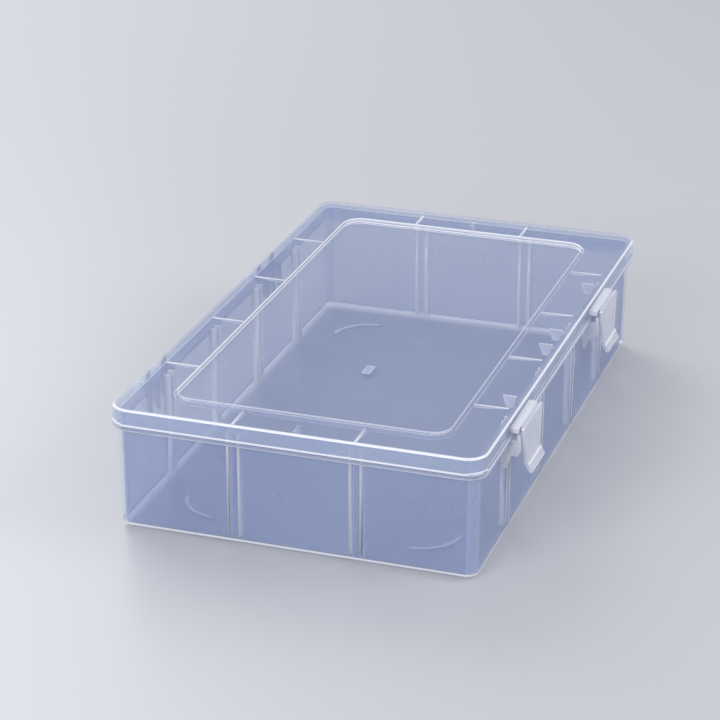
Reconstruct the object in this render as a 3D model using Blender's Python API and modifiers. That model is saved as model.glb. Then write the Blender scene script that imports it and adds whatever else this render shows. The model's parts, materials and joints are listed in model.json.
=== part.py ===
"""A clear plastic craft storage box: a slotted tray, a hinged lid and two swinging latches."""
import math

import bmesh
import bpy
from mathutils import Matrix, Vector

for old in list(bpy.data.objects):
    bpy.data.objects.remove(old, do_unlink=True)

# Overall sizes, in metres: x runs across to the latches, y along the box, z up
lid_width = 0.165
lid_length = 0.275
box_height = 0.057
sheet = 0.0013

# Lid
lid_corner = 0.009
lid_inner_round = 0.0002
skirt_depth = 0.0079
bead_reach = 0.0005
bead_height = 0.0015
bead_round = 0.0003
border_across = 0.0216
border_along = 0.0205
panel_drop = 0.002
panel_corner = 0.0085
lid_soft_edge = 0.00035

# Fins and guide tabs under the border of the lid
fin_height = 0.0019
fin_run = 0.0155
tab_inset = 0.0048
tab_width = 0.0063
tab_tip_width = 0.003
tab_drop = 0.0053
tab_thickness = 0.0012
tab_places_share = (-0.25, -0.0324, 0.0324, 0.25)

# Tray
wall_setback = 0.0027
wall_draft = 0.0004
wall_corner = 0.005
floor_inner_round = 0.0005
rim_clearance = 0.0007
rim_soft_edge = 0.0003
flange_thickness = 0.0016
flange_overhang = 0.0001
flange_gap = 0.0003
flange_soft_edge = 0.0003

# Divider slots: pairs of ribs on the walls
rib_thickness = 0.0013
rib_depth = 0.0033
rib_drop = 0.006
rib_soft_edge = 0.0003
slot_gap = 0.0035
slots_along_share = (-0.2975, -0.0989, 0.0989, 0.2975)
slots_across_share = (-0.1636, 0.1636)

# Feet: one quarter arc near each corner of the floor
foot_height = 0.001
foot_width = 0.002
foot_radius = 0.018
foot_inset_across = 0.0356
foot_inset_along = 0.0378

# Latches, and the ledges on the lid that carry them
station_share = (-0.2982, 0.1982)
pivot_out = 0.00455
pivot_drop = 0.0026
ledge_half = 0.0152
ledge_reach = 0.0037
ledge_thickness = 0.0026
ledge_soft_edge = 0.0004
strip_half = 0.0118
strip_thickness = 0.00055
strip_gap = 0.00015
flap_gap = 0.00025
flap_top_wall = 0.00115
flap_lean = 0.0007
flap_inner_lean = 0.00035
flap_knee = 0.0176
flap_knee_round = 0.006
flap_reach = 0.0045
flap_length = 0.0228
flap_tip_rise = 0.0012
flap_tip_wall = 0.00125
flap_tip_round = 0.0007
flap_waist_half = 0.0104
flap_waist_drop = 0.0164
flap_low_half = 0.0099
flap_top_round = 0.001
flap_tip_corner = 0.0016
flap_soft_edge = 0.0002
flap_panel_border = 0.0014
flap_panel_depth = 0.00035
nub_half = 0.008
nub_bite = 0.00045
nub_drop = 0.0129
nub_flat = 0.0005
nub_slope = 0.0013
nub_root = 0.0006

# Catches on the tray, one under each latch
catch_gap = 0.00015
catch_inset = 0.0006
catch_wall = 0.0016
catch_cheek = 0.0014
catch_top_drop = 0.0034
catch_nose_drop = 0.0105
catch_foot_drop = 0.0134
catch_undercut = 0.001
catch_gusset_in = 0.0029
catch_gusset_drop = 0.0194
catch_gusset_reach = 0.001
catch_soft_edge = 0.00025
shelf_step = 0.0005

# Hinges, one opposite each latch
axis_out = 0.0035
axis_drop = 0.0095
pin_radius = 0.0015
pin_gap = 0.00025
clip_wall = 0.00115
clip_side_gap = 0.0004
knuckle_wall = 0.0009
knuckle_thickness = 0.0013
knuckle_inner = 0.00425
knuckle_outer = 0.0132
gusset_drop = 0.0125
gusset_reach = 0.0006
arm_height = 0.0035
arm_rise = 0.001
arm_wall = 0.0011

# Joining depth and small steps between fused forms, one overrun for cuts, weld distance
bite = 0.0005
fused_step = 0.00006
overrun = 0.002
weld = 0.000001

# Counts and angles
corner_steps = 12
band_steps = 13
edge_steps = 4
flap_steps = 6
flap_corner_steps = 3
arc_steps = 12
round_sides = 24
sharp_angle = math.radians(35)
flat_angle = math.radians(1)
clip_mouth = math.radians(48)
clip_mouth_centre = math.radians(-90)
knuckle_start = math.radians(160)
knuckle_end = math.radians(-32)

# Levels and half sizes that follow
lid_x = lid_width / 2
lid_y = lid_length / 2
border_under = box_height - sheet
skirt_low = box_height - skirt_depth
panel_top = box_height - panel_drop
panel_under = panel_top - sheet
panel_x = lid_x - border_across
panel_y = lid_y - border_along
flange_top = skirt_low - flange_gap
flange_low = flange_top - flange_thickness
flange_x = lid_x + flange_overhang
flange_y = lid_y + flange_overhang
wall_x = lid_x - wall_setback
wall_y = lid_y - wall_setback
wall_top = border_under - rim_clearance
inner_x = wall_x - sheet
inner_y = wall_y - sheet
axis_x = -(lid_x + axis_out)
axis_z = box_height - axis_drop
pivot_x = lid_x + pivot_out
pivot_z = box_height - pivot_drop
clip_bore = pin_radius + pin_gap
clip_radius = clip_bore + clip_wall
stations = [share * lid_length for share in station_share]

PLAN = Matrix.Identity(4)
SIDE = Matrix(((1, 0, 0, 0), (0, 0, 1, 0), (0, 1, 0, 0), (0, 0, 0, 1)))
FRONT = Matrix(((0, 0, 1, 0), (1, 0, 0, 0), (0, 1, 0, 0), (0, 0, 0, 1)))


def new_collection(name, hidden):
    collection = bpy.data.collections.new(name)
    bpy.context.scene.collection.children.link(collection)
    collection.hide_render = hidden
    return collection


pieces = new_collection("craft_storage_organizer", False)
cutters = new_collection("organizer_helpers", True)


def rounded(points, radii, steps):
    """The outline with each corner turned into an arc of its own radius; zero keeps it sharp."""
    outline = []
    count = len(points)
    for index, radius in enumerate(radii):
        here = Vector(points[index])
        if not radius:
            outline.append(here)
            continue
        back = (Vector(points[index - 1]) - here).normalized()
        ahead = (Vector(points[(index + 1) % count]) - here).normalized()
        half = back.angle(ahead) / 2
        middle = here + (back + ahead).normalized() * (radius / math.sin(half))
        start = here + back * (radius / math.tan(half)) - middle
        left = ahead.cross(back) > 0
        turn = (math.pi - 2 * half) * (1 if left else -1)
        for step in range(steps + 1):
            outline.append(middle + Matrix.Rotation(turn * step / steps, 2) @ start)
    return outline


def arc(radius, start, end, steps=arc_steps):
    """Points on a circle round the origin, from one angle to the other."""
    turns = [start + (end - start) * step / steps for step in range(steps + 1)]
    return [Vector((radius * math.cos(turn), radius * math.sin(turn))) for turn in turns]


def soften(solid, width, segments=2):
    """Rounds the sharp edges of a closed solid."""
    edges = [edge for edge in solid.edges if edge.calc_face_angle() > sharp_angle]
    bmesh.ops.bevel(
        solid, geom=edges, offset=width, segments=segments, profile=0.5, affect="EDGES", clamp_overlap=True
    )


def plate(outlines, low, high, plane):
    """Flat outlines filled in their plane and made thick from low to high across it."""
    curve = bpy.data.curves.new("outline", "CURVE")
    curve.dimensions = "2D"
    curve.fill_mode = "BOTH"
    curve.extrude = (high - low) / 2
    for outline in outlines:
        spline = curve.splines.new("POLY")
        spline.points.add(len(outline) - 1)
        for point, (across, along) in zip(spline.points, outline):
            point.co = (across, along, 0, 1)
        spline.use_cyclic_u = True
    drawn = bpy.data.objects.new("outline", curve)
    mesh = bpy.data.meshes.new_from_object(drawn)
    bpy.data.objects.remove(drawn)
    bpy.data.curves.remove(curve)
    solid = bmesh.new()
    solid.from_mesh(mesh)
    bpy.data.meshes.remove(mesh)
    bmesh.ops.remove_doubles(solid, verts=solid.verts, dist=weld)
    bmesh.ops.dissolve_limit(solid, angle_limit=flat_angle, verts=solid.verts, edges=solid.edges)
    bmesh.ops.translate(solid, verts=solid.verts, vec=(0, 0, (low + high) / 2))
    bmesh.ops.transform(solid, matrix=plane, verts=solid.verts)
    bmesh.ops.recalc_face_normals(solid, faces=solid.faces)
    return solid


def bar(x_low, x_high, y_low, y_high, z_low, z_high, width=0):
    """A straight bar between six limits, its edges rounded when a width is given."""
    solid = bmesh.new()
    bmesh.ops.create_cube(solid, size=1)
    bmesh.ops.scale(solid, verts=solid.verts, vec=(x_high - x_low, y_high - y_low, z_high - z_low))
    middle = ((x_low + x_high) / 2, (y_low + y_high) / 2, (z_low + z_high) / 2)
    bmesh.ops.translate(solid, verts=solid.verts, vec=middle)
    if width:
        soften(solid, width)
    return solid


def block(half_x, half_y, low, high, corner, low_round=0, high_round=0, draft=0, steps=corner_steps):
    """A box with round upright corners, a round lower or upper edge, and draft down its walls."""
    solid = bar(-half_x, half_x, -half_y, half_y, low, high)
    for vert in solid.verts:
        if vert.co.z < (low + high) / 2:
            vert.co.x -= math.copysign(draft, vert.co.x)
            vert.co.y -= math.copysign(draft, vert.co.y)
    middle = (low + high) / 2
    upright = [edge for edge in solid.edges if (edge.verts[0].co.z > middle) != (edge.verts[1].co.z > middle)]
    bmesh.ops.bevel(
        solid, geom=upright, offset=corner, segments=steps, profile=0.5, affect="EDGES", clamp_overlap=True
    )
    for width, above in ((low_round, False), (high_round, True)):
        if width:
            rim = [edge for edge in solid.edges if all((vert.co.z > middle) == above for vert in edge.verts)]
            bmesh.ops.bevel(
                solid, geom=rim, offset=width, segments=edge_steps, profile=0.5, affect="EDGES", clamp_overlap=True
            )
    return solid


def open_end(solid, level):
    """Removes the flat face at one level, which leaves an open surface."""
    lids = [face for face in solid.faces if all(abs(vert.co.z - level) < weld for vert in face.verts)]
    bmesh.ops.delete(solid, geom=lids, context="FACES")
    return solid


def band(half_x, half_y, low, high, corner):
    """The upright wall of a box with round corners, open above and below."""
    wall = block(half_x, half_y, low, high, corner, steps=band_steps)
    return open_end(open_end(wall, low), high)


def joined(solids):
    """Several separate solids as one mesh."""
    whole = bmesh.new()
    for solid in solids:
        mesh = bpy.data.meshes.new("joined")
        solid.to_mesh(mesh)
        whole.from_mesh(mesh)
        bpy.data.meshes.remove(mesh)
        solid.free()
    return whole


def as_object(name, solid, origin, collection):
    """The solid as an object whose origin lies at the given place."""
    for face in solid.faces:
        face.smooth = any(edge.is_manifold and edge.calc_face_angle() < sharp_angle for edge in face.edges)
    for edge in solid.edges:
        edge.smooth = not edge.is_manifold or edge.calc_face_angle() < sharp_angle
    mesh = bpy.data.meshes.new(name)
    solid.to_mesh(mesh)
    solid.free()
    mesh.transform(Matrix.Translation(-origin))
    made = bpy.data.objects.new(name, mesh)
    collection.objects.link(made)
    return made


def piece(name, solid, origin, parent, parent_origin, color, roughness):
    made = as_object(name, solid, origin, pieces)
    made.parent = parent
    made.location = origin - parent_origin
    material = bpy.data.materials.new(name + "_plastic")
    material.use_nodes = True
    shader = material.node_tree.nodes["Principled BSDF"]
    shader.inputs["Base Color"].default_value = color
    shader.inputs["Roughness"].default_value = roughness
    shader.inputs["Transmission Weight"].default_value = 0.6
    made.data.materials.append(material)
    return made


def helper(name, solid, owner, owner_origin):
    """A hidden solid that moves with the piece it shapes."""
    made = as_object(name, solid, owner_origin, cutters)
    made.parent = owner
    made.display_type = "WIRE"
    made.hide_render = True
    return made


def combine(target, other, operation):
    modifier = target.modifiers.new(other.name, "BOOLEAN")
    modifier.operation = operation
    modifier.solver = "EXACT"
    modifier.object = other


def thicken(target, wall):
    """Gives an open surface a wall, inward from its outer face."""
    modifier = target.modifiers.new("wall", "SOLIDIFY")
    modifier.thickness = wall
    modifier.offset = -1
    modifier.use_even_offset = True


def ease(target, width):
    modifier = target.modifiers.new("edges", "BEVEL")
    modifier.width = width
    modifier.segments = 2
    modifier.limit_method = "ANGLE"
    modifier.angle_limit = sharp_angle
    modifier.harden_normals = False


root = bpy.data.objects.new("organizer_frame", None)
pieces.objects.link(root)
at_root = Vector((0, 0, 0))
at_axis = Vector((axis_x, 0, axis_z))

# Tray: a drafted shell with a round floor edge
shell = block(wall_x, wall_y, foot_height, wall_top, wall_corner, low_round=sheet + floor_inner_round, draft=wall_draft)
tray = piece("tray", open_end(shell, wall_top), at_root, root, at_root, (0.55, 0.63, 0.78, 1), 0.12)
thicken(tray, sheet)
ease(tray, rim_soft_edge)

# Flange round the tray, on which the skirt of the lid sits
rim = band(flange_x, flange_y, flange_low, flange_top, lid_corner + flange_overhang)
flange = helper("flange", rim, tray, at_root)
thicken(flange, flange_overhang + wall_setback + bite)
ease(flange, flange_soft_edge)
combine(tray, flange, "UNION")

# Divider slots: a pair of ribs at each place on each wall
ribs = []
rib_floor = foot_height + sheet - bite
rib_top = box_height - rib_drop
rib_shift = (slot_gap + rib_thickness) / 2
for share in slots_along_share:
    for side in (-1, 1):
        for end in (-1, 1):
            middle = share * lid_length + side * rib_shift
            faces = sorted((end * (inner_x - rib_depth), end * (inner_x + bite - wall_draft / 2)))
            low = middle - rib_thickness / 2
            ribs.append(bar(*faces, low, low + rib_thickness, rib_floor, rib_top, rib_soft_edge))
for share in slots_across_share:
    for side in (-1, 1):
        for end in (-1, 1):
            middle = share * lid_width + side * rib_shift
            faces = sorted((end * (inner_y - rib_depth), end * (inner_y + bite - wall_draft / 2)))
            low = middle - rib_thickness / 2
            ribs.append(bar(low, low + rib_thickness, *faces, rib_floor, rib_top, rib_soft_edge))
combine(tray, helper("slot_ribs", joined(ribs), tray, at_root), "UNION")

# Feet: quarter arcs that curve round each corner of the floor
feet = []
for side_x in (-1, 1):
    for side_y in (-1, 1):
        centre = Vector((side_x * (wall_x - foot_inset_across), side_y * (wall_y - foot_inset_along)))
        quarter = arc(foot_radius + foot_width / 2, 0, math.pi / 2)
        quarter += arc(foot_radius - foot_width / 2, math.pi / 2, 0)
        outline = [centre + Vector((side_x * point.x, side_y * point.y)) for point in quarter]
        feet.append(plate([outline], 0, foot_height + bite, PLAN))
combine(tray, helper("feet", joined(feet), tray, at_root), "UNION")

# Catches: a nosed bracket with an open back under each latch
catch_face = pivot_x - catch_gap
catch_half = ledge_half - catch_inset
catch_outline = (
    (wall_x - bite, flange_top - shelf_step),
    (catch_face - catch_wall, flange_top - shelf_step),
    (catch_face - catch_wall, pivot_z - catch_top_drop),
    (catch_face, pivot_z - catch_top_drop),
    (catch_face, pivot_z - catch_nose_drop),
    (catch_face - catch_undercut, pivot_z - catch_foot_drop),
    (catch_face - catch_undercut - catch_gusset_in, pivot_z - catch_foot_drop),
    (wall_x + catch_gusset_reach, pivot_z - catch_gusset_drop),
    (wall_x - bite, pivot_z - catch_gusset_drop),
)
hollow_outline = (
    (wall_x - bite - overrun, flange_low - shelf_step),
    (catch_face - catch_wall, flange_low - shelf_step),
    (catch_face - catch_wall, pivot_z - catch_nose_drop),
    (catch_face - catch_wall - catch_undercut, pivot_z - catch_foot_drop),
    (catch_face - catch_wall - catch_undercut, pivot_z - catch_gusset_drop - overrun),
    (wall_x - bite - overrun, pivot_z - catch_gusset_drop - overrun),
)
for name, station in zip(("near", "far"), stations):
    solid = plate([catch_outline], station - catch_half, station + catch_half, SIDE)
    soften(solid, catch_soft_edge, 1)
    bracket = helper("catch_" + name, solid, tray, at_root)
    inside = plate([hollow_outline], station - catch_half + catch_cheek, station + catch_half - catch_cheek, SIDE)
    combine(bracket, helper("catch_hollow_" + name, inside, tray, at_root), "DIFFERENCE")
    combine(tray, bracket, "UNION")

# Hinge brackets on the tray: four cheeks and a pin at each hinge
knuckle_radius = pin_radius + knuckle_wall
knuckle = arc(knuckle_radius, knuckle_start, knuckle_end)
wall_in = axis_out + wall_setback + bite
knuckle_outline = [Vector((-wall_in, knuckle[0].y))] + knuckle
knuckle_outline += [Vector((gusset_reach - axis_out - wall_setback, -gusset_drop)), Vector((-wall_in, -gusset_drop))]
knuckle_outline = [(axis_x - point.x, axis_z + point.y) for point in knuckle_outline]
cheeks = []
pins = []
for station in stations:
    for place in (-knuckle_outer, -knuckle_inner, knuckle_inner, knuckle_outer):
        low = station + place - knuckle_thickness / 2
        cheeks.append(plate([knuckle_outline], low, low + knuckle_thickness, SIDE))
    pin = bmesh.new()
    turned = Matrix.Translation((axis_x, station, axis_z)) @ Matrix.Rotation(math.pi / 2, 4, "X")
    bmesh.ops.create_cone(
        pin,
        cap_ends=True,
        segments=round_sides,
        radius1=pin_radius,
        radius2=pin_radius,
        depth=2 * knuckle_outer + knuckle_thickness - bite,
        matrix=turned,
    )
    pins.append(pin)
combine(tray, helper("hinge_cheeks", joined(cheeks), tray, at_root), "UNION")
combine(tray, helper("hinge_pins", joined(pins), tray, at_root), "UNION")

# Lid: a shallow shell, its middle sunk as a panel
cover = block(lid_x, lid_y, skirt_low, box_height, lid_corner, high_round=sheet + lid_inner_round)
lid = piece("lid", open_end(cover, skirt_low), at_axis, tray, at_root, (0.60, 0.68, 0.84, 1), 0.1)
thicken(lid, sheet)
pan = block(
    panel_x + sheet, panel_y + sheet, panel_under, box_height - sheet / 2, panel_corner + sheet, low_round=lid_soft_edge
)
combine(lid, helper("panel_pan", pan, lid, at_axis), "UNION")
sunk = block(panel_x, panel_y, panel_top, box_height + overrun, panel_corner)
combine(lid, helper("panel_recess", sunk, lid, at_axis), "DIFFERENCE")
ease(lid, lid_soft_edge)

# Bead round the lower edge of the skirt
rim = band(
    lid_x + bead_reach, lid_y + bead_reach, skirt_low + fused_step, skirt_low + bead_height, lid_corner + bead_reach
)
bead = helper("skirt_bead", rim, lid, at_axis)
thicken(bead, bead_reach + sheet / 2)
ease(bead, bead_round)
combine(lid, bead, "UNION")

# Fins between the border of the lid and the step down to its panel
fins = []
for share in slots_along_share:
    low = share * lid_length - rib_thickness / 2
    for side in (-1, 1):
        outline = (
            (side * (panel_x + sheet / 2), border_under - fin_height),
            (side * (panel_x + sheet + fin_run), border_under),
            (side * (panel_x + sheet + fin_run), border_under + bite),
            (side * (panel_x + sheet / 2), border_under + bite),
        )
        fins.append(plate([outline], low, low + rib_thickness, SIDE))
for share in slots_across_share:
    low = share * lid_width - rib_thickness / 2
    for side in (-1, 1):
        outline = (
            (side * (panel_y + sheet / 2), border_under - fin_height),
            (side * (panel_y + sheet + fin_run), border_under),
            (side * (panel_y + sheet + fin_run), border_under + bite),
            (side * (panel_y + sheet / 2), border_under + bite),
        )
        fins.append(plate([outline], low, low + rib_thickness, FRONT))
combine(lid, helper("border_fins", joined(fins), lid, at_axis), "UNION")


def tab_outline(edge, side):
    """A hanging tab with a round tip, seen along the wall that it guides."""
    slope = (tab_width - tab_tip_width) / 2
    points = (
        (edge - tab_inset, border_under + bite),
        (edge - tab_inset, border_under),
        (edge - tab_inset - slope, border_under - tab_drop),
        (edge - tab_inset - slope - tab_tip_width, border_under - tab_drop),
        (edge - tab_inset - tab_width, border_under),
        (edge - tab_inset - tab_width, border_under + bite),
    )
    tip = tab_tip_width / 3
    outline = rounded(points, (0, 0, tip, tip, 0, 0), edge_steps)
    return [(side * point[0], point[1]) for point in outline]


# Guide tabs: four on the latch side and one in the middle of each short side
tabs = []
for share in tab_places_share:
    low = share * lid_length - tab_thickness / 2
    tabs.append(plate([tab_outline(lid_x, 1)], low, low + tab_thickness, SIDE))
for side in (-1, 1):
    tabs.append(plate([tab_outline(lid_y, side)], -tab_thickness / 2, tab_thickness / 2, FRONT))
combine(lid, helper("guide_tabs", joined(tabs), lid, at_axis), "UNION")

# Ledges and thin strips that carry the latches
ledges = []
strips = []
for station in stations:
    y_faces = (station - ledge_half, station + ledge_half)
    ledge_faces = (lid_x - bite, lid_x + ledge_reach, *y_faces, pivot_z - ledge_thickness, pivot_z)
    ledges.append(bar(*ledge_faces, ledge_soft_edge))
    y_faces = (station - strip_half, station + strip_half)
    strip_top = pivot_z - ledge_soft_edge
    strip_faces = (lid_x + ledge_reach - bite, pivot_x - strip_gap, *y_faces, strip_top - strip_thickness, strip_top)
    strips.append(bar(*strip_faces))
combine(lid, helper("latch_ledges", joined(ledges), lid, at_axis), "UNION")
combine(lid, helper("latch_strips", joined(strips), lid, at_axis), "UNION")

# Clips of the lid that turn on the pins, each with an open mouth and an arm to the skirt
clips = []
arms = []
clip_middle = (knuckle_inner + knuckle_outer) / 2
clip_half = (knuckle_outer - knuckle_inner - knuckle_thickness) / 2 - clip_side_gap
ring_start = clip_mouth_centre + clip_mouth
ring_end = clip_mouth_centre - clip_mouth + 2 * math.pi
clip_outline = arc(clip_radius, ring_start, ring_end, round_sides) + arc(clip_bore, ring_end, ring_start, round_sides)
clip_outline = [(axis_x - point.x, axis_z + point.y) for point in clip_outline]
skirt_in = axis_out + bite
low_arm = axis_drop - skirt_depth + arm_rise
arm_shape = (
    (skirt_in, low_arm),
    (axis_out, low_arm),
    (clip_radius * math.cos(sharp_angle), clip_radius * math.sin(sharp_angle)),
    (0, clip_bore + clip_wall / 2),
    (-clip_radius * math.sin(sharp_angle), clip_radius * math.cos(sharp_angle)),
    (axis_out - arm_wall, low_arm + arm_height),
    (skirt_in, low_arm + arm_height),
)
arm_outline = [(axis_x + point[0], axis_z + point[1]) for point in arm_shape]
for station in stations:
    for side in (-1, 1):
        middle = station + side * clip_middle
        clips.append(plate([clip_outline], middle - clip_half, middle + clip_half, SIDE))
        arms.append(plate([arm_outline], middle - clip_half + clip_side_gap, middle + clip_half - clip_side_gap, SIDE))
combine(lid, helper("hinge_clips", joined(clips), lid, at_axis), "UNION")
combine(lid, helper("hinge_arms", joined(arms), lid, at_axis), "UNION")

# Latches: a flared flap cut to a tapering front, with a shallow panel and an inner nub
profile = (
    (flap_gap, 0),
    (flap_gap + flap_top_wall, 0),
    (flap_gap + flap_top_wall + flap_lean, -flap_knee),
    (flap_reach, flap_tip_rise - flap_length),
    (flap_reach - flap_tip_wall, -flap_length),
    (flap_gap + flap_inner_lean, -flap_knee - bite),
)
profile = rounded(profile, (0, 0, flap_knee_round, flap_tip_round, flap_tip_round, flap_knee_round), flap_steps)
panel_profile = (
    (flap_gap + flap_top_wall - flap_panel_depth, -flap_panel_border),
    (flap_gap + flap_top_wall + flap_lean - flap_panel_depth, -flap_knee),
    (flap_reach + overrun, -flap_knee),
    (flap_reach + overrun, -flap_panel_border),
)
nub_face = -catch_gap - nub_bite
nub_profile = (
    (nub_face, -nub_drop),
    (flap_gap + flap_inner_lean, nub_slope - nub_drop),
    (flap_gap + flap_inner_lean + nub_root, nub_slope - nub_drop),
    (flap_gap + flap_inner_lean + nub_root, -nub_drop - nub_flat - nub_slope),
    (flap_gap + flap_inner_lean, -nub_drop - nub_flat - nub_slope),
    (nub_face, -nub_drop - nub_flat),
)
front = (
    (-ledge_half, 0),
    (-flap_waist_half, -flap_waist_drop),
    (-flap_low_half, -flap_length),
    (flap_low_half, -flap_length),
    (flap_waist_half, -flap_waist_drop),
    (ledge_half, 0),
)
corner_radii = (flap_top_round, 0, flap_tip_corner, flap_tip_corner, 0, flap_top_round)
front = rounded(front, corner_radii, flap_corner_steps)
narrow = ledge_half - flap_panel_border
waist_narrow = flap_waist_half - flap_panel_border
panel_front = (
    (-narrow, 0),
    (-waist_narrow, -flap_waist_drop),
    (-waist_narrow, -flap_length),
    (waist_narrow, -flap_length),
    (waist_narrow, -flap_waist_drop),
    (narrow, 0),
)


def lifted(outline, across, height):
    """The outline moved from its own zero to a place on the box."""
    return [(point[0] + across, point[1] + height) for point in outline]


for name, station in zip(("latch_near", "latch_far"), stations):
    at_pivot = Vector((pivot_x, station, pivot_z))
    outer = (station - ledge_half - overrun, station + ledge_half + overrun)
    body = plate([lifted(profile, pivot_x, pivot_z)], *outer, SIDE)
    latch = piece(name, body, at_pivot, lid, at_axis, (0.66, 0.74, 0.90, 1), 0.18)
    depth = (pivot_x - overrun, pivot_x + flap_reach + overrun)
    face = helper(name + "_front", plate([lifted(front, station, pivot_z)], *depth, FRONT), latch, at_pivot)
    combine(latch, face, "INTERSECT")
    dip = helper(name + "_panel", plate([lifted(panel_profile, pivot_x, pivot_z)], *outer, SIDE), latch, at_pivot)
    sides = plate([lifted(panel_front, station, pivot_z)], pivot_x - overrun, pivot_x + flap_reach + 2 * overrun, FRONT)
    combine(dip, helper(name + "_panel_sides", sides, latch, at_pivot), "INTERSECT")
    combine(latch, dip, "DIFFERENCE")
    ease(latch, flap_soft_edge)
    hook = plate([lifted(nub_profile, pivot_x, pivot_z)], station - nub_half, station + nub_half, SIDE)
    combine(latch, helper(name + "_nub", hook, latch, at_pivot), "UNION")

# The whole box is shifted so that its bounding box is centred across x
flap_out = max(point[0] for point in profile)
root.location.x = (lid_x + axis_out + clip_radius - pivot_x - flap_out) / 2
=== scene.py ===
import json
import math

import bmesh
import bpy
from mathutils import Matrix, Vector

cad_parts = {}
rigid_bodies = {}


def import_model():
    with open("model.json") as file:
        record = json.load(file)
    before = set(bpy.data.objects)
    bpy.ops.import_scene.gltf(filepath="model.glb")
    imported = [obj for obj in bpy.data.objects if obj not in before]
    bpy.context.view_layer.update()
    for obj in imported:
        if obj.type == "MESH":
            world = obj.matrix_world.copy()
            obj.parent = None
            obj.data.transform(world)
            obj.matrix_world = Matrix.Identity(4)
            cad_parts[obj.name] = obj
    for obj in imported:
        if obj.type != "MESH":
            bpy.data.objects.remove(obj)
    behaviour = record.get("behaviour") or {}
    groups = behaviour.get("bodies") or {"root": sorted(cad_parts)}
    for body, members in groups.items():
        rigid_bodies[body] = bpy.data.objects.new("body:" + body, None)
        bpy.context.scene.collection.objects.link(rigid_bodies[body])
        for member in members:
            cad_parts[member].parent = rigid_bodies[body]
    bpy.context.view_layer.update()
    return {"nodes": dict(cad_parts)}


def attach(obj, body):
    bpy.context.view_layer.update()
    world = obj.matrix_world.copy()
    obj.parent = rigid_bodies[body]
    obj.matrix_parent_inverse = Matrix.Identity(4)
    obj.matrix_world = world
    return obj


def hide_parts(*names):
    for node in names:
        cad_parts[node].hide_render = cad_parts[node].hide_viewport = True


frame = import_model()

MM = 0.001

# The middle of the lid and tray, across; the hinges and latches reach out unevenly.
MIDDLE_X = -1.23 * MM

# Sizes of the box that the finishes follow, measured from its middle.
LID_HALF_X = 82.5 * MM
LID_HALF_Y = 137.5 * MM
PANEL_HALF_X = 60.9 * MM
PANEL_HALF_Y = 117.0 * MM
INSIDE_X = 77.9 * MM
INSIDE_Y = 132.9 * MM
WALL_X = 79.85 * MM
WALL_Y = 134.85 * MM
FLOOR_TOP = 2.9 * MM
FOOT_TOP = 0.95 * MM
FOOT_REACH_X = 72.0 * MM
FOOT_REACH_Y = 127.0 * MM
FLANGE_HALF_X = 82.7 * MM
FLANGE_LOW = 47.2 * MM
BORDER_UNDER = 55.65 * MM
PANEL_TOP = 55.05 * MM
PANEL_LINE = 55.5 * MM
STEP_LINE = 56.2 * MM
BEAD_TOP = 50.7 * MM
BORDER_EDGE = 1.4 * MM
PANEL_RIM = 1.35 * MM
CLOSE = 0.1 * MM
SKIRT_OUT = 0.02 * MM
HINGE_OUT = 0.6 * MM

# Widths of the narrow faces that catch the light; these take the painted highlight.
ROUND_STRIP = 0.8 * MM
FINE_STRIP = 0.4 * MM
RIB_FACE = 1.6 * MM

# Welding distance, smoothing angle in degrees, and weight of large faces.
WELD = 1e-6
SMOOTH_ANGLE = 32
FACE_WEIGHT = 80

# The moulding gate on the floor of the tray.
GATE_PLACE = (-31.4 * MM, 55.3 * MM, 2.4 * MM)
GATE_SIZE = (4.4 * MM, 9.6 * MM, 0.4 * MM)

# Colours, linear.
WALL_PALE = (0.27, 0.36, 0.63, 1.0)
WALL_DEEP = (0.21, 0.29, 0.55, 1.0)
SKIN_PALE = (0.62, 0.70, 0.90, 1.0)
SKIN_DEEP = (0.52, 0.61, 0.84, 1.0)
LID_PALE = (0.30, 0.39, 0.66, 1.0)
LID_DEEP = (0.24, 0.32, 0.58, 1.0)
HAZE_PALE = (0.60, 0.68, 0.88, 1.0)
HAZE_DEEP = (0.50, 0.59, 0.82, 1.0)
# Milky white of the latches. On the ribs the same white is the milkiness of the thick plastic
# together with a painted highlight of the light it pipes.
MILKY_AND_HIGHLIGHT_PALE = (0.88, 0.89, 0.97, 1.0)
MILKY_AND_HIGHLIGHT_DEEP = (0.78, 0.81, 0.93, 1.0)
# Near-white painted highlight for rounded edges, rib sides, feet and flanges, standing in for the
# light those edges catch.
EDGE_HIGHLIGHT_PALE = (0.96, 0.96, 1.0, 1.0)
EDGE_HIGHLIGHT_DEEP = (0.90, 0.91, 0.99, 1.0)
FLOOR_PALE = (0.56, 0.57, 0.60, 1.0)


def nothing_selected():
    if bpy.context.object and bpy.context.object.mode != "OBJECT":
        bpy.ops.object.mode_set(mode="OBJECT")
    bpy.ops.object.select_all(action="DESELECT")


# ---------------------------------------------------------------- finishes
def node_at(tree, kind, x, y, inputs=()):
    node = tree.nodes.new(kind)
    node.location = (x, y)
    for name, value in dict(inputs).items():
        node.inputs[name].default_value = value
    return node


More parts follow.
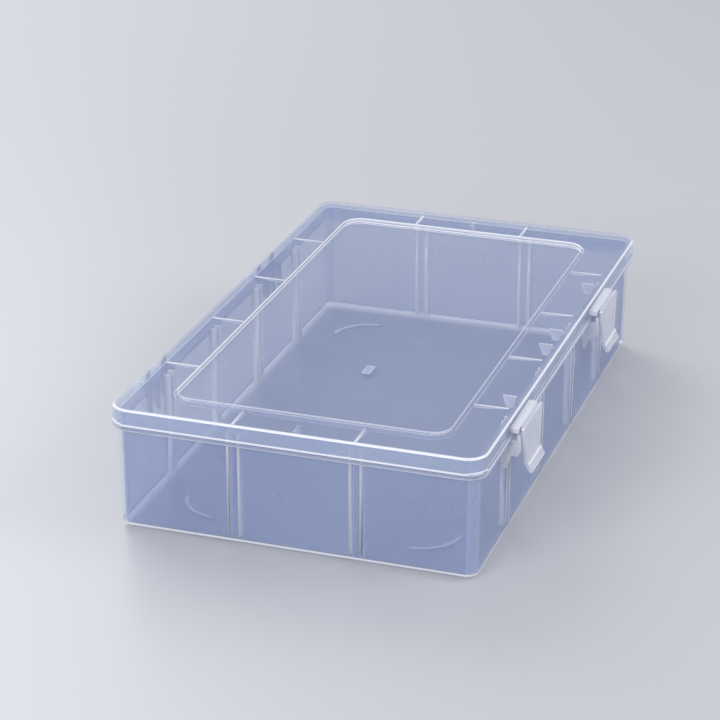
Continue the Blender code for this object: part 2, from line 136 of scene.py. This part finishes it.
def moulded(name, pale, deep, cover, rough_low, rough_high, wave):
    """See-through moulded polypropylene: hazy colour, uneven gloss and faint waves."""
    material = bpy.data.materials.new(name)
    material.use_nodes = True
    tree = material.node_tree
    tree.nodes.clear()
    link = tree.links.new
    out = node_at(tree, "ShaderNodeOutputMaterial", 700, 0)
    shader = node_at(tree, "ShaderNodeBsdfPrincipled", 400, 0,
                     {"Alpha": cover, "IOR": 1.49, "Specular IOR Level": 0.9})
    link(shader.outputs["BSDF"], out.inputs["Surface"])
    where = node_at(tree, "ShaderNodeTexCoord", -900, 0)

    cloud = node_at(tree, "ShaderNodeTexNoise", -600, 250,
                    {"Scale": 14.0, "Detail": 3.0, "Roughness": 0.45})
    link(where.outputs["Object"], cloud.inputs["Vector"])
    tint = node_at(tree, "ShaderNodeValToRGB", -300, 250)
    tint.color_ramp.elements[0].position = 0.15
    tint.color_ramp.elements[0].color = deep
    tint.color_ramp.elements[1].position = 0.85
    tint.color_ramp.elements[1].color = pale
    link(cloud.outputs["Fac"], tint.inputs["Fac"])
    link(tint.outputs["Color"], shader.inputs["Base Color"])

    smear = node_at(tree, "ShaderNodeTexNoise", -600, -50, {"Scale": 45.0, "Detail": 2.0})
    link(where.outputs["Object"], smear.inputs["Vector"])
    gloss = node_at(tree, "ShaderNodeMapRange", -300, -50,
                    {"From Min": 0.1, "From Max": 0.9, "To Min": rough_low, "To Max": rough_high})
    link(smear.outputs["Fac"], gloss.inputs["Value"])
    link(gloss.outputs["Result"], shader.inputs["Roughness"])

    waves = node_at(tree, "ShaderNodeTexNoise", -600, -350, {"Scale": 38.0, "Detail": 1.0})
    link(where.outputs["Object"], waves.inputs["Vector"])
    relief = node_at(tree, "ShaderNodeBump", -100, -350, {"Strength": 0.2, "Distance": wave})
    link(waves.outputs["Fac"], relief.inputs["Height"])
    link(relief.outputs["Normal"], shader.inputs["Normal"])
    return material


skin_clear = moulded("skin_clear", SKIN_PALE, SKIN_DEEP, 0.09, 0.15, 0.24, 0.00005)
wall_haze = moulded("wall_haze", WALL_PALE, WALL_DEEP, 0.50, 0.24, 0.34, 0.00005)
floor_haze = moulded("floor_haze", WALL_PALE, WALL_DEEP, 0.34, 0.24, 0.34, 0.00005)
lid_haze = moulded("lid_haze", LID_PALE, LID_DEEP, 0.28, 0.20, 0.30, 0.00005)
latch_milky = moulded("latch_milky", MILKY_AND_HIGHLIGHT_PALE, MILKY_AND_HIGHLIGHT_DEEP, 0.52, 0.10, 0.20, 0.00005)
# Ribs and wide thick faces: milky plastic with a painted highlight, whiter and more covering than
# the clear sheet.
milky_painted_highlight = moulded("milky_painted_highlight", MILKY_AND_HIGHLIGHT_PALE, MILKY_AND_HIGHLIGHT_DEEP, 0.80, 0.12, 0.22, 0.00005)
# Painted highlight: a near-white, nearly opaque finish for the narrow faces that catch the light.
edge_painted_highlight = moulded("edge_painted_highlight", EDGE_HIGHLIGHT_PALE, EDGE_HIGHLIGHT_DEEP, 0.92, 0.15, 0.28, 0.00005)
corner_gloss = moulded("corner_gloss", SKIN_PALE, SKIN_DEEP, 0.30, 0.08, 0.14, 0.00002)
thick_haze = moulded("thick_haze", HAZE_PALE, HAZE_DEEP, 0.26, 0.08, 0.16, 0.00005)


# ---------------------------------------------------------------- mouldings
# Finish slots. The second and third slots carry painted highlights: the second milky, for ribs
# and wide thick faces; the third near-white, for edges.
SKIN, MILKY_HIGHLIGHT, PAINTED_HIGHLIGHT, HAZY, SHEET, BASE, GLOSSY = 0, 1, 2, 3, 4, 5, 6


def strip_width(face):
    """Width of a long strip, also where the strip is halved into triangles."""
    longest = max(edge.calc_length() for edge in face.edges)
    share = 2 if len(face.verts) == 3 else 1
    return share * face.calc_area() / max(longest, 1e-9)


def edge_strip(face, flattest):
    """True for the strips of a rounded edge."""
    width = strip_width(face)
    normal = face.normal
    if 0.3 < abs(normal.z) < flattest and width < ROUND_STRIP:
        return True
    return max(abs(normal.x), abs(normal.y), abs(normal.z)) < 0.995 and width < FINE_STRIP


def corner_strip(face):
    """True for the upright strips that turn a corner of the box."""
    normal = face.normal
    return abs(normal.z) < 0.3 and max(abs(normal.x), abs(normal.y)) < 0.985


def tray_part(face):
    """Which finish a face of the tray takes: clear sheet, milky with a painted highlight where it
    is thick, and a painted highlight on edges, feet and flanges.
    """
    place, normal = face.calc_center_median(), face.normal
    x, y, z = abs(place.x - MIDDLE_X), abs(place.y), place.z
    # Feet get the near-white painted highlight, standing in for light on the arcs that sit in the
    # box's shadow.
    if z < FOOT_TOP and x < FOOT_REACH_X and y < FOOT_REACH_Y:
        return PAINTED_HIGHLIGHT
    # Hinges and outer flange: painted highlight, near-white on the hinge side and milky on the
    # other.
    if x > FLANGE_HALF_X or (x > WALL_X and z < FLANGE_LOW - CLOSE):
        return PAINTED_HIGHLIGHT if place.x < 0 else MILKY_HIGHLIGHT
    if x > WALL_X or y > WALL_Y:
        # Downward faces of the outer rim get the painted highlight.
        return PAINTED_HIGHLIGHT if normal.z < -0.3 else HAZY
    if z < FLOOR_TOP and normal.z > 0.1:
        return SKIN
    # Rounded edges and the floor's lower bevel get the painted highlight.
    if edge_strip(face, 0.97) or (z < FLOOR_TOP and -0.97 < normal.z < -0.1):
        return PAINTED_HIGHLIGHT
    # Ribs: milky with a painted highlight on the inward faces, near-white painted highlight on
    # the sides.
    if z > FLOOR_TOP and x < INSIDE_X and y < INSIDE_Y and not corner_strip(face):
        on_end_wall = y - INSIDE_Y > x - INSIDE_X
        inward_face = abs(normal.y if on_end_wall else normal.x) > 0.8
        return MILKY_HIGHLIGHT if inward_face else PAINTED_HIGHLIGHT
    if abs(normal.z) > 0.9:
        return SKIN if normal.z > 0 else BASE
    inward = normal.x * (place.x - MIDDLE_X) + normal.y * place.y < 0
    if inward:
        return SHEET
    return GLOSSY if corner_strip(face) else SKIN


def lid_part(face):
    """Which finish a face of the lid takes."""
    place, normal = face.calc_center_median(), face.normal
    x, y, z = abs(place.x - MIDDLE_X), abs(place.y), place.z
    # Hinges and clips: painted highlight, near-white on the hinge side and milky on the other.
    if x > LID_HALF_X + HINGE_OUT:
        return PAINTED_HIGHLIGHT if place.x < 0 else MILKY_HIGHLIGHT
    # Skirt bead: upright faces get the painted highlight.
    if (x > LID_HALF_X + SKIRT_OUT or y > LID_HALF_Y + SKIRT_OUT) and z < BEAD_TOP:
        return PAINTED_HIGHLIGHT if abs(normal.z) < 0.3 else HAZY
    # Rounded edges get the painted highlight.
    if edge_strip(face, 0.90):
        return PAINTED_HIGHLIGHT
    inside = x < LID_HALF_X - BORDER_EDGE and y < LID_HALF_Y - BORDER_EDGE
    outside_panel = x > PANEL_HALF_X + PANEL_RIM or y > PANEL_HALF_Y + PANEL_RIM
    # Under the border: narrow faces get the near-white painted highlight, wide faces the milky
    # one.
    if inside and outside_panel and z < BORDER_UNDER and not corner_strip(face):
        return PAINTED_HIGHLIGHT if strip_width(face) < RIB_FACE else MILKY_HIGHLIGHT
    over_panel = x < PANEL_HALF_X + CLOSE and y < PANEL_HALF_Y + CLOSE
    # Panel step: painted highlight lines along its top and bottom edges.
    if z > PANEL_TOP and abs(normal.z) < 0.3 and over_panel:
        return HAZY if PANEL_LINE < z < STEP_LINE else PAINTED_HIGHLIGHT
    if abs(normal.z) < 0.3:
        return HAZY
    return SKIN if normal.z > 0 else SHEET


def latch_part(face):
    """Which finish a face of a latch takes."""
    # Rounded edges of the latch get the painted highlight.
    return PAINTED_HIGHLIGHT if edge_strip(face, 0.95) else SKIN


def moulding(node, body, finishes, part_of, cut_heights=()):
    """A welded, smoothed copy of a CAD node, with its finishes laid out face by face."""
    nothing_selected()
    source = frame["nodes"][node]
    source.select_set(True)
    bpy.context.view_layer.objects.active = source
    bpy.ops.object.duplicate()
    piece = bpy.context.object
    bpy.ops.object.parent_clear(type="CLEAR_KEEP_TRANSFORM")
    for key in list(piece.keys()):
        del piece[key]
    piece.name = node + "_moulding"
    piece.data.name = piece.name
    piece.data.materials.clear()
    for finish in finishes:
        piece.data.materials.append(finish)
    bpy.ops.object.mode_set(mode="EDIT")
    bpy.ops.mesh.select_all(action="SELECT")
    bpy.ops.mesh.remove_doubles(threshold=WELD)
    for height in cut_heights:
        bpy.ops.mesh.select_all(action="SELECT")
        bpy.ops.mesh.bisect(plane_co=(0, 0, height), plane_no=(0, 0, 1))
    mesh = bmesh.from_edit_mesh(piece.data)
    for face in mesh.faces:
        face.material_index = part_of(face)
    bmesh.update_edit_mesh(piece.data)
    bpy.ops.object.mode_set(mode="OBJECT")
    bpy.ops.object.shade_smooth_by_angle(angle=math.radians(SMOOTH_ANGLE))
    bpy.ops.object.modifier_add(type="WEIGHTED_NORMAL")
    piece.modifiers[-1].keep_sharp = True
    piece.modifiers[-1].weight = FACE_WEIGHT
    bpy.ops.object.modifier_apply(modifier=piece.modifiers[-1].name)
    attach(piece, body)
    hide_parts(node)
    return piece


def gate_mark():
    """The low square frame that the moulding gate leaves on the floor of the tray."""
    nothing_selected()
    bpy.ops.mesh.primitive_cube_add(size=1.0, location=GATE_PLACE, scale=GATE_SIZE)
    mark = bpy.context.object
    mark.name = "gate_mark"
    mark.data.name = mark.name
    bpy.ops.object.transform_apply(location=True, rotation=True, scale=True)
    bpy.ops.object.mode_set(mode="EDIT")
    bpy.ops.mesh.select_mode(type="FACE")
    bpy.ops.mesh.select_all(action="DESELECT")
    mesh = bmesh.from_edit_mesh(mark.data)
    for face in mesh.faces:
        face.select_set(face.normal.z > 0.9)
    bmesh.update_edit_mesh(mark.data)
    bpy.ops.mesh.inset(thickness=0.9 * MM, depth=0)
    bpy.ops.mesh.inset(thickness=0.1 * MM, depth=-0.2 * MM)
    bpy.ops.object.mode_set(mode="OBJECT")
    # The frame of the gate mark gets the near-white painted highlight, its lowered middle the
    # milky one.
    mark.data.materials.append(edge_painted_highlight)
    mark.data.materials.append(milky_painted_highlight)
    for face in mark.data.polygons:
        lowered = face.normal.z > 0.9 and face.center.z < GATE_PLACE[2] + 0.4 * GATE_SIZE[2]
        face.material_index = 1 if lowered else 0
    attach(mark, "tray")


# Finish lists in slot order; the second and third hold the painted highlights.
tray_finishes = (skin_clear, milky_painted_highlight, edge_painted_highlight, thick_haze,
                 wall_haze, floor_haze, corner_gloss)
lid_finishes = (skin_clear, milky_painted_highlight, edge_painted_highlight, thick_haze, lid_haze)
latch_finishes = (latch_milky, milky_painted_highlight, edge_painted_highlight)
tray = moulding("tray", "tray", tray_finishes, tray_part)
lid = moulding("lid", "lid", lid_finishes, lid_part, (PANEL_LINE, STEP_LINE))
latch_near = moulding("latch_near", "latch_near", latch_finishes, latch_part)
latch_far = moulding("latch_far", "latch_far", latch_finishes, latch_part)
gate_mark()


# ---------------------------------------------------------------- floor, lamps, camera
nothing_selected()
bpy.ops.mesh.primitive_plane_add(size=6.0, location=(0, 0, -0.0002))
studio_floor = bpy.context.object
studio_floor.name = "studio_floor"
floor_paint = bpy.data.materials.new("floor_paint")
floor_paint.use_nodes = True
paint = floor_paint.node_tree.nodes["Principled BSDF"]
paint.inputs["Base Color"].default_value = FLOOR_PALE
paint.inputs["Roughness"].default_value = 0.4
studio_floor.data.materials.append(floor_paint)

world = bpy.data.worlds.new("studio_air")
bpy.context.scene.world = world
world.use_nodes = True
air = world.node_tree
backdrop = air.nodes["Background"]
backdrop.inputs["Color"].default_value = (0.82, 0.84, 0.88, 1.0)
backdrop.inputs["Strength"].default_value = 0.62


def soft_lamp(name, place, width, height, power):
    lamp = bpy.data.lights.new(name, "AREA")
    lamp.shape = "RECTANGLE"
    lamp.size = width
    lamp.size_y = height
    lamp.energy = power
    holder = bpy.data.objects.new(name, lamp)
    bpy.context.scene.collection.objects.link(holder)
    holder.location = place
    aim = Vector((0, 0, 0.03)) - Vector(place)
    holder.rotation_euler = aim.to_track_quat("-Z", "Y").to_euler()


soft_lamp("lamp_behind_left", (-0.9, 0.8, 0.9), 0.9, 0.9, 9.0)
soft_lamp("lamp_right", (1.1, 0.1, 0.8), 0.7, 0.7, 6.0)
soft_lamp("lamp_front", (-0.3, -1.3, 0.7), 0.9, 0.6, 9.0)

# A ray can cross many thin clear walls before it leaves the box.
bpy.context.scene.cycles.transparent_max_bounces = 32

view = bpy.data.cameras.new("photo_view")
view.sensor_width = 36.0
view.lens = 127.14
view.shift_x = 0.00073
view.shift_y = -0.00042
view.clip_start = 0.01
view.dof.use_dof = False
camera = bpy.data.objects.new("photo_view", view)
bpy.context.scene.collection.objects.link(camera)
camera_right = Vector((0.94765865, 0.31928482, 0.00054196))
camera_up = Vector((-0.12597952, 0.37235485, 0.91950042))
camera_back = Vector((0.29338072, -0.8714408, 0.39308864))
turn = Matrix((camera_right, camera_up, camera_back)).transposed().to_4x4()
camera.matrix_world = Matrix.Translation((0.327951, -1.025925, 0.494866)) @ turn
bpy.context.scene.camera = camera
bpy.context.scene.view_settings.view_transform = "Standard"
